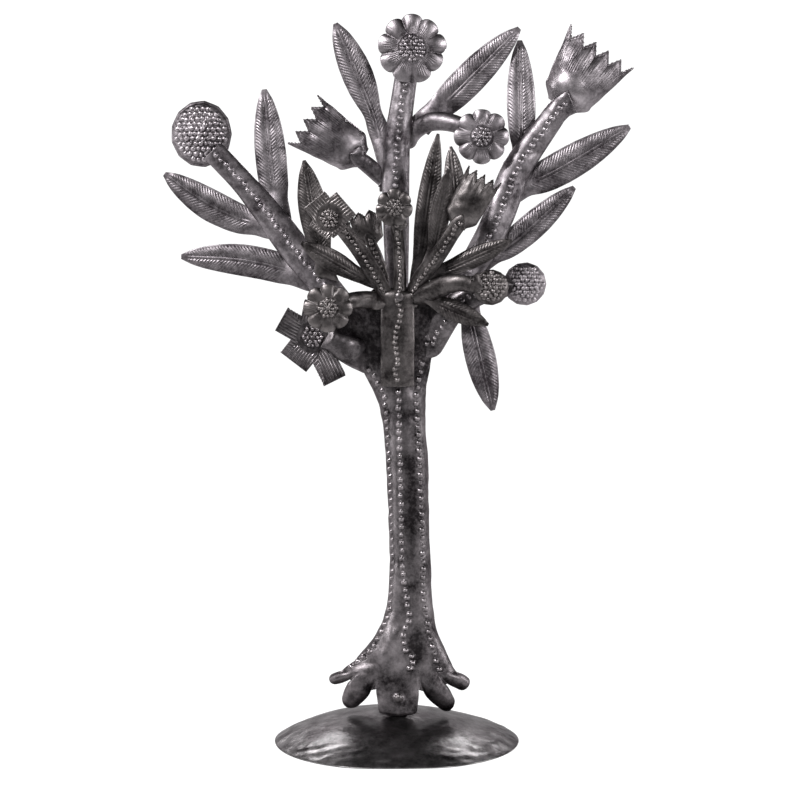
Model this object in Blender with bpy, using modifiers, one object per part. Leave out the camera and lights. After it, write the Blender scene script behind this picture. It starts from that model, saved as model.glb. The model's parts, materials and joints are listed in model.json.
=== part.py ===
"""A standing tree of life, cut from sheet steel, hammered, and joined with laps, rivets and tacks.

Metres, +Z up, the viewer stands on the -Y side. The origin is the centre of the base's rim circle,
on the surface that the base rests on. Every sheet piece bulges towards -Y and is hollow behind.
"""

import math

import bmesh
import bpy
from mathutils import Vector

# ---------------------------------------------------------------- driving dimensions
SHEET = 0.001               # thickness of the drum steel
BASE_RADIUS = 0.070         # outer radius of the domed base
BASE_HEIGHT = 0.0165        # top of the dome above the table
BASE_LIP = 0.003            # straight turned-down edge of the dome
TRUNK_TURN = math.radians(110)   # half of the angle that the rolled trunk wraps round
FLARE_TURN = math.radians(60)    # the same where the trunk opens out under the branches
ROOT_TURN = math.radians(80)     # the same where the trunk opens out into the roots
TRUNK_FRONT = 0.0118        # how far the trunk's front stands forward of its axis plane
RIVET_SHANK = 0.0011        # radius
RIVET_HOLE = 0.0014         # radius
RIVET_HEAD = 0.0027         # radius
GAP = 0.0003                # air between pieces that touch

COLLECTION = "tree_of_life"

# name: base colour, roughness
STEELS = {
    "base_steel": ((0.085, 0.082, 0.086), 0.32),
    "trunk_steel": ((0.125, 0.110, 0.118), 0.38),
    "spray_steel": ((0.150, 0.132, 0.142), 0.40),
    "bouquet_steel": ((0.085, 0.076, 0.078), 0.42),
    "rivet_steel": ((0.180, 0.170, 0.175), 0.35),
}

# Stems: centre line through these points, width at its start, middle and end, and crown height.
STEMS = {
    "left_stem": (
        [(-0.013, -0.004, 0.222), (-0.0225, -0.0035, 0.2395), (-0.0435, -0.003, 0.265),
         (-0.0565, 0.0, 0.2805), (-0.072, 0.003, 0.301), (-0.086, 0.005, 0.318),
         (-0.1035, 0.0055, 0.3365)],
        (0.012, 0.0165, 0.011), 0.0045, "spray_steel"),
    "centre_stem": (
        [(0.0005, -0.0055, 0.226), (0.0005, 0.0, 0.250), (0.0, 0.0035, 0.284),
         (-0.0005, 0.006, 0.318), (0.0005, 0.007, 0.342), (0.003, 0.0078, 0.362),
         (0.0065, 0.008, 0.385)],
        (0.010, 0.0145, 0.012), 0.0045, "spray_steel"),
    "right_stem": (
        [(0.0140, -0.0035, 0.219), (0.0275, -0.004, 0.250), (0.040, -0.003, 0.2685),
         (0.0515, -0.001, 0.2865), (0.060, 0.001, 0.306), (0.0665, 0.003, 0.3245),
         (0.0775, 0.004, 0.341), (0.086, 0.004, 0.3525), (0.0955, 0.003, 0.3665)],
        (0.011, 0.0165, 0.012), 0.0045, "spray_steel"),
    "left_tulip_stem": (
        [(-0.003, 0.0102, 0.317), (-0.0098, 0.0096, 0.3225), (-0.015, 0.0058, 0.3275),
         (-0.021, 0.0010, 0.332), (-0.025, -0.0006, 0.3345)],
        (0.008, 0.009, 0.007), 0.003, "spray_steel"),
    "right_fork_stem": (
        [(0.004, 0.0118, 0.3385), (0.009, 0.0115, 0.3465), (0.0165, 0.0075, 0.352),
         (0.025, 0.0025, 0.353), (0.034, -0.001, 0.351), (0.041, -0.0015, 0.3475)],
        (0.009, 0.010, 0.009), 0.0035, "spray_steel"),
    "lower_left_stem": (
        [(-0.0145, -0.0125, 0.218), (-0.022, -0.013, 0.223), (-0.030, -0.0145, 0.227),
         (-0.0395, -0.016, 0.2305)],
        (0.012, 0.0155, 0.010), 0.004, "trunk_steel"),
    "lower_right_stem": (
        [(0.0175, -0.0125, 0.224), (0.0255, -0.012, 0.239), (0.034, -0.0112, 0.251),
         (0.0465, -0.0108, 0.257), (0.063, -0.0105, 0.261)],
        (0.011, 0.014, 0.011), 0.004, "trunk_steel"),
    "bouquet_plate": (
        [(0.0005, -0.0124, 0.205), (0.0005, -0.0130, 0.232), (0.001, -0.0152, 0.250),
         (0.0015, -0.0170, 0.259)],
        (0.019, 0.019, 0.018), 0.003, "bouquet_steel"),
    "bouquet_left_stem": (
        [(-0.0047, -0.0117, 0.2505), (-0.0063, -0.0124, 0.257), (-0.0102, -0.0165, 0.264),
         (-0.015, -0.021, 0.2725), (-0.022, -0.026, 0.2835), (-0.032, -0.031, 0.2965)],
        (0.0045, 0.009, 0.008), 0.0030, "bouquet_steel"),
    "bouquet_centre_stem": (
        [(0.0015, -0.0117, 0.2505), (0.0017, -0.0125, 0.258), (0.002, -0.0178, 0.268),
         (0.0015, -0.0245, 0.2815), (-0.0005, -0.031, 0.298)],
        (0.0060, 0.0095, 0.009), 0.0030, "bouquet_steel"),
    "bouquet_right_stem": (
        [(0.0077, -0.0117, 0.2505), (0.009, -0.0124, 0.257), (0.0122, -0.0165, 0.264),
         (0.0192, -0.0225, 0.2735), (0.027, -0.028, 0.285), (0.0355, -0.0322, 0.2985)],
        (0.0045, 0.009, 0.008), 0.0030, "bouquet_steel"),
    "bud_stem": (
        [(-0.0062, -0.0085, 0.2625), (-0.0085, -0.0105, 0.270), (-0.0125, -0.013, 0.281),
         (-0.0158, -0.015, 0.2895)],
        (0.005, 0.0065, 0.005), 0.0022, "bouquet_steel"),
    "side_daisy_stem": (
        [(-0.0098, -0.0172, 0.2515), (-0.0145, -0.0222, 0.2535), (-0.024, -0.028, 0.254),
         (-0.0345, -0.032, 0.251)],
        (0.008, 0.009, 0.008), 0.0030, "bouquet_steel"),
    "side_ball_stem": (
        [(0.0124, -0.0180, 0.2538), (0.0192, -0.0225, 0.2585), (0.0312, -0.028, 0.2635),
         (0.0465, -0.032, 0.262)],
        (0.008, 0.010, 0.008), 0.0030, "bouquet_steel"),
}

# Leaves: neck, tip, greatest width, sideways bow, share of the length that is a plain narrow neck,
# and where along the blade it is widest.
LEAVES = {
    "left_upper_leaf": ((-0.068, 0.0056, 0.304), (-0.0745, 0.010, 0.371), 0.0175, 0.0, 0.0, 0.45,
                        "spray_steel"),
    "left_middle_leaf": ((-0.0735, 0.0048, 0.292), (-0.131, 0.008, 0.3235), 0.018, -0.003, 0.05, 0.45,
                         "spray_steel"),
    "left_lower_leaf": ((-0.0505, 0.0002, 0.267), (-0.1215, 0.004, 0.277), 0.018, 0.003, 0.0, 0.45,
                        "spray_steel"),
    "top_left_leaf": ((-0.0045, 0.0096, 0.333), (-0.0345, 0.014, 0.408), 0.0175, 0.001, 0.3, 0.45,
                      "spray_steel"),
    "top_right_leaf": ((0.0165, 0.008, 0.352), (0.069, 0.0085, 0.405), 0.018, 0.0, 0.1, 0.42,
                       "spray_steel"),
    "right_upper_leaf": ((0.071, 0.0062, 0.3295), (0.0695, 0.013, 0.3985), 0.016, 0.0, 0.05, 0.45,
                         "spray_steel"),
    "right_middle_leaf": ((0.0665, 0.0052, 0.313), (0.1310, 0.004, 0.350), 0.019, 0.001, 0.05, 0.42,
                          "spray_steel"),
    "right_lower_leaf": ((0.051, 0.0006, 0.2735), (0.100, 0.002, 0.316), 0.0155, 0.001, 0.05, 0.45,
                         "spray_steel"),
    "hanging_leaf": ((0.0397, -0.0082, 0.252), (0.054, -0.014, 0.1915), 0.0185, 0.0, 0.1, 0.45,
                     "spray_steel"),
    "far_left_leaf": ((-0.0395, -0.0085, 0.2665), (-0.0515, -0.0085, 0.331), 0.018, 0.0, 0.1, 0.48,
                      "bouquet_steel"),
    "bouquet_left_leaf": ((-0.0165, -0.0172, 0.2645), (-0.053, -0.0225, 0.2855), 0.013, 0.0, 0.1, 0.45,
                          "bouquet_steel"),
    "bouquet_tall_leaf": ((0.0115, -0.0150, 0.266), (0.023, -0.018, 0.3455), 0.0135, 0.0, 0.1, 0.45,
                          "bouquet_steel"),
    "bouquet_inner_leaf": ((0.0195, -0.0212, 0.2765), (0.0285, -0.029, 0.326), 0.012, 0.0, 0.1, 0.45,
                           "bouquet_steel"),
    "bouquet_back_leaf": ((0.0345, -0.0235, 0.295), (0.030, -0.016, 0.3385), 0.013, 0.0, 0.0, 0.45,
                          "bouquet_steel"),
    "bouquet_right_leaf": ((0.0225, -0.0198, 0.268), (0.064, -0.024, 0.287), 0.012, 0.0, 0.1, 0.45,
                           "bouquet_steel"),
    "bouquet_low_leaf": ((0.0165, -0.0172, 0.2545), (0.051, -0.0225, 0.240), 0.0125, 0.0, 0.1, 0.45,
                         "bouquet_steel"),
}

# Round-petalled flowers: centre, radius, petals, angle of the first petal in degrees.
DAISIES = {
    "top_daisy": ((0.0088, 0.0017, 0.3928), 0.0192, 9, 90, "spray_steel"),
    "small_daisy": ((0.0475, -0.0068, 0.344), 0.0155, 8, 80, "spray_steel"),
    "bouquet_daisy": ((-0.0013, -0.0358, 0.3047), 0.0105, 7, 90, "bouquet_steel"),
    "side_daisy": ((-0.0375, -0.0368, 0.250), 0.014, 8, 70, "bouquet_steel"),
}

# Square-petalled flowers: centre, (angle in degrees, reach, width) of each petal.
SQUARE_FLOWERS = {
    "lower_left_flower": (
        (-0.0452, -0.0133, 0.232),
        [(80, 0.022, 0.016), (149, 0.0235, 0.015), (226, 0.019, 0.0195), (295, 0.028, 0.0135)],
        "trunk_steel"),
    "bouquet_square_flower": (
        (-0.0364, -0.0362, 0.3006),
        [(35, 0.0145, 0.010), (110, 0.0145, 0.010), (180, 0.0145, 0.010), (250, 0.0145, 0.010),
         (320, 0.0145, 0.010)],
        "bouquet_steel"),
}

# Tulips: foot, middle of the mouth, widths at the foot, body and mouth, teeth, crown height.
TULIPS = {
    "left_tulip": ((-0.0192, 0.0075, 0.3325), (-0.050, 0.001, 0.3525),
                   (0.011, 0.026, 0.032), 5, 0.0065, "spray_steel"),
    "big_tulip": ((0.0925, 0.0125, 0.3615), (0.114, 0.0090, 0.3925),
                  (0.014, 0.031, 0.0425), 6, 0.0085, "spray_steel"),
    "bouquet_tulip": ((0.033, -0.0272, 0.2955), (0.0475, -0.031, 0.321),
                      (0.009, 0.020, 0.021), 5, 0.0045, "bouquet_steel"),
    "bud_tulip": ((-0.0140, -0.0106, 0.2845), (-0.018, -0.0125, 0.3015),
                  (0.006, 0.0115, 0.014), 4, 0.003, "bouquet_steel"),
}

# Seed balls: centre, radius, crown height.
BALLS = {
    "left_ball": ((-0.1103, 0.012, 0.346), 0.0173, 0.007, "spray_steel"),
    "lower_right_ball": ((0.072, -0.005, 0.262), 0.0122, 0.005, "spray_steel"),
    "side_ball": ((0.052, -0.0275, 0.261), 0.010, 0.0045, "bouquet_steel"),
}

# The trunk's outline: height, left edge, right edge.
TRUNK_OUTLINE = [
    (0.042, -0.0270, 0.0330), (0.0465, -0.0250, 0.0315), (0.0545, -0.0175, 0.0270),
    (0.062, -0.0110, 0.0238), (0.073, -0.0065, 0.0213), (0.088, -0.0043, 0.0202),
    (0.110, -0.0037, 0.0192), (0.139, -0.0050, 0.0183), (0.162, -0.0061, 0.0180),
    (0.179, -0.0073, 0.0166), (0.194, -0.0098, 0.0167), (0.2035, -0.0137, 0.0168),
    (0.210, -0.0172, 0.0177), (0.2155, -0.0208, 0.0192), (0.2205, -0.0225, 0.0210),
    (0.2305, -0.0232, 0.0245), (0.261, -0.0235, 0.0255),
]
TRUNK_LEFT_TOP = 0.229      # top of the flare's left lobe
TRUNK_RIGHT_TOP = 0.233     # top of its right lobe
TRUNK_TONGUE_TOP = 0.2605   # top of the tongue behind the bouquet's plate
TRUNK_TONGUE_U = 0.34       # half of the tongue's share of the trunk's width

# Roots and foot: start, bend and tip of the centre line, widths at those three, sheet columns.
ROOTS = [
    ("outer_left", (-0.0205, -0.006, 0.041), (-0.030, -0.002, 0.0405), (-0.037, 0.002, 0.0335),
     (0.011, 0.009, 0.005), 2),
    ("inner_left", (-0.0135, -0.009, 0.040), (-0.021, -0.006, 0.031), (-0.0288, 0.0, 0.0205),
     (0.012, 0.0095, 0.006), 2),
    ("foot", (0.0010, -0.012, 0.042), (0.0012, -0.013, 0.030), (0.0015, -0.0142, 0.0165),
     (0.027, 0.019, 0.0145), 3),
    ("inner_right", (0.0175, -0.009, 0.040), (0.0245, -0.006, 0.031), (0.0318, 0.0, 0.0205),
     (0.012, 0.0095, 0.006), 2),
    ("outer_right", (0.0255, -0.006, 0.041), (0.0345, -0.002, 0.039), (0.0407, 0.002, 0.0315),
     (0.011, 0.009, 0.005), 2),
]
ROOT_ROWS = 8
INNER_CROTCH_ROW = 5        # rows below this one are split between the foot and the inner roots
TRUNK_ROWS = 20

FOOT_RIVET_HEIGHT = 0.028
BOUQUET_RIVET = (0.0016, 0.2555)   # x and z
LUG_RIVET_Y = -0.0015


# ---------------------------------------------------------------- scene, materials, objects
def clear_scene():
    for item in list(bpy.context.scene.objects):
        bpy.data.objects.remove(item, do_unlink=True)


def make_collection(name):
    group = bpy.data.collections.new(name)
    bpy.context.scene.collection.children.link(group)
    return group


def make_steel(name, colour, roughness):
    steel = bpy.data.materials.new(name)
    steel.use_nodes = True
    shader = steel.node_tree.nodes["Principled BSDF"]
    shader.inputs["Base Color"].default_value = (*colour, 1.0)
    shader.inputs["Roughness"].default_value = roughness
    shader.inputs["Metallic"].default_value = 1.0
    return steel


def add_object(name, mesh, steel, group):
    item = bpy.data.objects.new(name, mesh)
    item.data.materials.append(steel)
    mesh.shade_smooth()
    group.objects.link(item)
    return item


def thicken(item, thickness=SHEET):
    solid = item.modifiers.new("sheet", "SOLIDIFY")
    solid.thickness = thickness
    solid.offset = -1.0
    solid.use_even_offset = False
    return solid


# ---------------------------------------------------------------- geometry helpers
def mix(a, b, t):
    return a + (b - a) * t


def smooth_step(t):
    t = min(max(t, 0.0), 1.0)
    return t * t * (3.0 - 2.0 * t)


def curve_point(points, t):
    """Point at share t of a smooth curve through the points, and the curve's direction there."""
    spans = len(points) - 1
    place = min(max(t, 0.0), 1.0) * spans
    index = min(int(place), spans - 1)
    f = place - index
    p1 = Vector(points[index])
    p2 = Vector(points[index + 1])
    p0 = Vector(points[index - 1]) if index > 0 else 2 * p1 - p2
    p3 = Vector(points[index + 2]) if index + 2 <= spans else 2 * p2 - p1
    a = 2 * p1
    b = p2 - p0
    c = 2 * p0 - 5 * p1 + 4 * p2 - p3
    d = 3 * p1 - p0 - 3 * p2 + p3
    place = 0.5 * (a + b * f + c * f * f + d * f * f * f)
    direction = 0.5 * (b + 2 * c * f + 3 * d * f * f)
    return place, direction.normalized()


def three_way(values, t):
    """Value at share t between a start, a middle and an end value."""
    start, middle, end = values
    if t < 0.5:
        return mix(start, middle, smooth_step(2 * t))
    return mix(middle, end, smooth_step(2 * t - 1))


def table_value(table, column, key):
    """Straight-line reading of one column of a table sorted by its first column."""
    if key <= table[0][0]:
        return table[0][column]
    for low, high in zip(table, table[1:]):
        if key <= high[0]:
            return mix(low[column], high[column], (key - low[0]) / (high[0] - low[0]))
    return table[-1][column]


def sheet_axes(direction):
    """Across and front axes of a sheet that runs along direction and faces the viewer."""
    front = Vector((0, -1, 0)) - direction * direction.dot(Vector((0, -1, 0)))
    front.normalize()
    return direction.cross(front), front


def arc_section(u, half_turn):
    """Across and forward shares of an arc that turns by half_turn on each side of its crown."""
    angle = u * half_turn
    across = math.sin(angle) / math.sin(half_turn)
    forward = (math.cos(angle) - math.cos(half_turn)) / (1 - math.cos(half_turn))
    return across, forward


def grid_mesh(name, columns, rows, shape, removed=None):
    """A grid whose vertices go where shape(u, v) says, u and v from -1 to 1 and 0 to 1."""
    bm = bmesh.new()
    bmesh.ops.create_grid(bm, x_segments=columns, y_segments=rows, size=1.0)
    if removed:
        doomed = []
        for face in bm.faces:
            middle = face.calc_center_median()
            column = int((middle.x + 1) / 2 * columns)
            row = int((middle.y + 1) / 2 * rows)
            if removed(column, row):
                doomed.append(face)
        bmesh.ops.delete(bm, geom=doomed, context="FACES")
    for vertex in bm.verts:
        vertex.co = shape(vertex.co.x, (vertex.co.y + 1) / 2)
    bmesh.ops.remove_doubles(bm, verts=bm.verts, dist=1e-6)
    mesh = bpy.data.meshes.new(name)
    bm.to_mesh(mesh)
    bm.free()
    return mesh


def turned_object(name, profile, steps, steel, group):
    """Profile of (radius, height) pairs, outer side from top to bottom, turned about Z."""
    mesh = bpy.data.meshes.new(name)
    edges = [(i, i + 1) for i in range(len(profile) - 1)]
    mesh.from_pydata([(r, 0, z) for r, z in profile], edges, [])
    item = bpy.data.objects.new(name, mesh)
    item.data.materials.append(steel)
    group.objects.link(item)
    screw = item.modifiers.new("turn", "SCREW")
    screw.steps = steps
    screw.render_steps = steps
    screw.use_merge_vertices = True
    screw.merge_threshold = 0.00005
    screw.use_smooth_shade = True
    return item


def cylinder_cutter(name, radius, length, place, axis, group):
    bm = bmesh.new()
    bmesh.ops.create_cone(bm, cap_ends=True, segments=16, radius1=radius, radius2=radius,
                          depth=length)
    mesh = bpy.data.meshes.new(name)
    bm.to_mesh(mesh)
    bm.free()
    cutter = bpy.data.objects.new(name, mesh)
    cutter.location = place
    if axis == "Y":
        cutter.rotation_euler = (math.pi / 2, 0, 0)
    cutter.hide_render = True
    cutter.display_type = "WIRE"
    group.objects.link(cutter)
    return cutter


def cut(item, cutter):
    hole = item.modifiers.new("hole_" + cutter.name, "BOOLEAN")
    hole.operation = "DIFFERENCE"
    hole.solver = "EXACT"
    hole.object = cutter


# ---------------------------------------------------------------- the kinds of piece
def make_stem(name, points, widths, crown, steel, group):
    """Half-round hammered stem, open behind, with a rounded end."""
    rows = 2 * (len(points) - 1) + 1

    def shape(u, v):
        centre, direction = curve_point(points, v)
        across_axis, front = sheet_axes(direction)
        half = three_way(widths, v) / 2
        rise = crown * min(1.0, 2 * half / widths[1])
        across, forward = arc_section(u, math.radians(75))
        return centre + across_axis * half * across + front * rise * forward

    item = add_object(name, grid_mesh(name, 6, rows, shape), steel, group)
    thicken(item)
    return item


def make_leaf(name, neck, tip, width, bow, neck_share, belly, steel, group):
    """Pointed leaf, slightly dished, from its narrow neck to its tip."""
    neck = Vector(neck)
    tip = Vector(tip)
    direction = (tip - neck).normalized()
    across_axis, front = sheet_axes(direction)
    neck_half = 0.0027
    tip_half = 0.0006
    skew = math.log(0.5) / math.log(belly)
    crown = 0.0014

    def half_width(t):
        blade = min(max((t - neck_share) / (1 - neck_share), 0.0), 1.0)
        lens = math.sin(math.pi * blade ** skew) ** 0.72 if 0 < blade < 1 else 0.0
        stalk = neck_half * (1 - smooth_step(blade * 2))
        return max(width / 2 * lens, stalk, tip_half)

    def shape(u, v):
        half = half_width(v)
        across, forward = arc_section(u, math.radians(45))
        sideways = half * across + bow * math.sin(math.pi * v)
        place = neck + (tip - neck) * v + across_axis * sideways
        return place + front * crown * forward * half / (width / 2)

    item = add_object(name, grid_mesh(name, 4, 10, shape), steel, group)
    thicken(item)
    return item


def make_daisy(name, centre, radius, petals, first_angle, steel, group):
    """Round flower with rounded petals and a raised middle."""
    centre = Vector(centre)
    start = math.radians(first_angle)
    boss_radius = 0.45 * radius
    boss_height = 0.16 * radius

    def shape(u, v):
        angle = start - math.pi * u
        notch = abs(math.cos(petals * (angle - start) / 2)) ** 0.6
        reach = radius * (0.84 + 0.16 * notch)
        r = reach * v
        boss = boss_height * math.cos(min(r / boss_radius, 1.0) * math.pi / 2) ** 2
        dish = 0.0012 * math.sin(math.pi * v)
        flat = Vector((math.cos(angle), 0, math.sin(angle))) * r
        return centre + flat + Vector((0, -boss - dish, 0))

    item = add_object(name, grid_mesh(name, petals * 4, 4, shape), steel, group)
    thicken(item)
    return item


def make_square_flower(name, centre, petals, steel, group):
    """Flat flower with square-ended petals, an outline filled and extruded to the sheet."""
    outline = []
    for index, (angle, reach, width) in enumerate(petals):
        following = petals[(index + 1) % len(petals)]
        along = Vector((math.cos(math.radians(angle)), math.sin(math.radians(angle))))
        side = Vector((-along.y, along.x))
        outline.append(along * reach - side * width / 2)
        outline.append(along * reach + side * width / 2)
        next_angle = following[0] + (360 if following[0] < angle else 0)
        half_gap = math.radians((next_angle - angle) / 2)
        notch = 0.62 * width / math.sin(half_gap)
        middle = math.radians(angle) + half_gap
        outline.append(Vector((math.cos(middle), math.sin(middle))) * notch)
    curve = bpy.data.curves.new(name, "CURVE")
    curve.dimensions = "2D"
    curve.fill_mode = "BOTH"
    curve.extrude = SHEET / 2
    spline = curve.splines.new("POLY")
    spline.points.add(len(outline) - 1)
    for point, place in zip(spline.points, outline):
        point.co = (place.x, place.y, 0, 1)
    spline.use_cyclic_u = True
    curve.materials.append(steel)
    item = bpy.data.objects.new(name, curve)
    item.location = centre
    item.rotation_euler = (math.pi / 2, 0, 0)
    group.objects.link(item)
    return item


def make_tulip(name, foot, mouth, widths, teeth, crown, steel, group):
    """Bulged cup of a flower seen from the side, with a zigzag mouth."""
    foot = Vector(foot)
    mouth = Vector(mouth)
    direction = (mouth - foot).normalized()
    length = (mouth - foot).length
    across_axis, front = sheet_axes(direction)
    tooth = 0.10

    def half_width(t):
        swell = math.sin(math.pi / 2 * min(t / 0.38, 1.0))
        body = mix(widths[0], widths[1], swell)
        return mix(body, widths[2], smooth_step((t - 0.45) / 0.55)) / 2

    def shape(u, v):
        column = round((u + 1) * teeth)
        zigzag = tooth if column % 2 else -tooth
        along = v * (1 + zigzag * v ** 4)
        across, forward = arc_section(u, math.radians(70))
        bulge = crown * (0.35 + 0.65 * math.sin(math.pi * min(v * 0.9 + 0.05, 1.0)))
        place = foot + direction * length * along
        return place + across_axis * half_width(v) * across + front * bulge * forward

    item = add_object(name, grid_mesh(name, teeth * 2, 6, shape), steel, group)
    thicken(item)
    return item


def make_ball(name, centre, radius, crown, steel, group):
    """Domed seed head, open behind."""
    rings = 4
    profile = []
    for index in range(rings + 1):
        t = index / rings
        profile.append((radius * t, crown * (1 - t ** 2.4)))
    item = turned_object(name, profile, 22, steel, group)
    item.location = centre
    item.rotation_euler = (math.pi / 2, 0, 0)
    thicken(item)
    return item


def make_rivet(name, place, length, axis, steel, group):
    """Round-headed rivet; place is the underside of its front head, length the grip."""
    head_height = 0.0014
    tail_radius = 0.0021
    tail_height = 0.0009
    arc = 3
    profile = []
    for index in range(arc + 1):
        angle = math.pi / 2 * index / arc
        profile.append((RIVET_HEAD * math.sin(angle), head_height * math.cos(angle)))
    profile.append((RIVET_SHANK, 0.0))
    profile.append((RIVET_SHANK, -length))
    for index in range(arc + 1):
        angle = math.pi / 2 * index / arc
        profile.append((tail_radius * math.cos(angle), -length - tail_height * math.sin(angle)))
    item = turned_object(name, profile, 12, steel, group)
    item.location = place
    if axis == "Y":
        item.rotation_euler = (math.pi / 2, 0, 0)
    return item


# ---------------------------------------------------------------- base, trunk, lug
def dome_height(radius):
    """Height of the dome's outer surface at a distance from its middle."""
    return BASE_LIP + (BASE_HEIGHT - BASE_LIP) * (1 - (radius / BASE_RADIUS) ** 2.5)


def make_base(steel, group):
    rings = 8
    profile = []
    for index in range(rings):
        radius = BASE_RADIUS * index / rings
        profile.append((radius, dome_height(radius)))
    profile.append((BASE_RADIUS - 0.0006, BASE_LIP + 0.0008))
    profile.append((BASE_RADIUS, BASE_LIP))
    profile.append((BASE_RADIUS, 0.0))
    item = turned_object("base_dome", profile, 44, steel, group)
    thicken(item)
    return item


def trunk_section(u, z):
    """Point of the trunk's sheet at share u of its width, at height z."""
    left = table_value(TRUNK_OUTLINE, 1, z)
    right = table_value(TRUNK_OUTLINE, 2, z)
    turn = mix(ROOT_TURN, TRUNK_TURN, smooth_step((z - 0.045) / 0.040))
    turn = mix(turn, FLARE_TURN, smooth_step((z - 0.178) / 0.036))
    angle = u * turn
    reach = math.sin(min(turn, math.pi / 2))
    x = (left + right) / 2 + (right - left) / 2 * math.sin(angle) / reach
    front = TRUNK_FRONT - 0.0010 * smooth_step((z - 0.225) / 0.025)
    return Vector((x, -front * math.cos(angle), z))


def trunk_top(u):
    """Height of the trunk's upper edge at share u: a tongue between two lower lobes."""
    lobe = TRUNK_LEFT_TOP if u < 0 else TRUNK_RIGHT_TOP
    edge = lobe - 0.010 * smooth_step((abs(u) - 0.6) / 0.4)
    tongue = 1 - smooth_step((abs(u) - 0.5 * TRUNK_TONGUE_U) / (0.5 * TRUNK_TONGUE_U))
    return mix(edge, TRUNK_TONGUE_TOP, tongue)


def root_columns():
    """Column number where each root starts; one column between two roots becomes the notch."""
    starts = []
    column = 0
    for root in ROOTS:
        starts.append(column)
        column += root[5] + 1
    return starts, column - 1


def root_point(root, s, t):
    """Point of a root at share s across it (-1 to 1) and share t from its tip to its start."""
    name, start, bend, tip, widths, columns = root
    start = Vector(start)
    bend = Vector(bend)
    tip = Vector(tip)
    f = 1 - t
    centre = start * (1 - f) ** 2 + 2 * bend * f * (1 - f) + tip * f * f
    direction = (2 * (1 - f) * (start - bend) + 2 * f * (bend - tip)).normalized()
    across_axis, front = sheet_axes(direction)
    half = three_way(widths, f) / 2
    round_end = 1 - 0.45 * s * s * smooth_step((f - 0.8) / 0.2)
    across, forward = arc_section(s, math.radians(60))
    place = centre + across_axis * half * across + front * 0.0022 * forward
    lift = (1 - round_end) * half
    return place + direction * lift


def make_trunk(steel, group, cutters):
    starts, columns = root_columns()
    rows = ROOT_ROWS + TRUNK_ROWS
    crotch_z = TRUNK_OUTLINE[0][0]

    def find_root(column):
        for index in range(len(ROOTS) - 1, -1, -1):
            if column >= starts[index]:
                return index
        return 0

    def shape(u, v):
        column = round((u + 1) / 2 * columns)
        row = round(v * rows)
        if row >= ROOT_ROWS:
            share = (row - ROOT_ROWS) / TRUNK_ROWS
            z = mix(crotch_z, trunk_top(u), share)
            return trunk_section(u, z)
        index = find_root(column)
        root = ROOTS[index]
        s = 2 * (column - starts[index]) / root[5] - 1
        t = row / ROOT_ROWS
        return root_point(root, s, t).lerp(trunk_section(u, crotch_z), smooth_step((t - 0.45) / 0.55))

    def in_notch(column, row):
        for index in range(1, len(ROOTS)):
            if column == starts[index] - 1:
                outer = index in (1, len(ROOTS) - 1)
                return row < (ROOT_ROWS if outer else INNER_CROTCH_ROW)
        return False

    mesh = grid_mesh("trunk", columns, rows, shape, in_notch)
    item = add_object("trunk", mesh, steel, group)
    thicken(item)
    for cutter in cutters:
        cut(item, cutter)
    return item


def make_lug(steel, group, cutters):
    """L-shaped strap behind the foot: one leg riveted to the foot, one to the dome."""
    upright = -0.0116
    floor = BASE_HEIGHT + GAP
    half = 0.005
    profile = [(upright, 0.034), (upright, floor), (0.0045, floor)]
    bm = bmesh.new()
    bmesh.ops.create_grid(bm, x_segments=2, y_segments=len(profile) - 1, size=1.0)
    for vertex in bm.verts:
        y, z = profile[round((1 - vertex.co.y) / 2 * (len(profile) - 1))]
        vertex.co = (0.0012 + half * vertex.co.x, y, z)
    mesh = bpy.data.meshes.new("base_lug")
    bm.to_mesh(mesh)
    bm.free()
    item = add_object("base_lug", mesh, steel, group)
    thicken(item).use_even_offset = True
    for cutter in cutters:
        cut(item, cutter)
    return item


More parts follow.
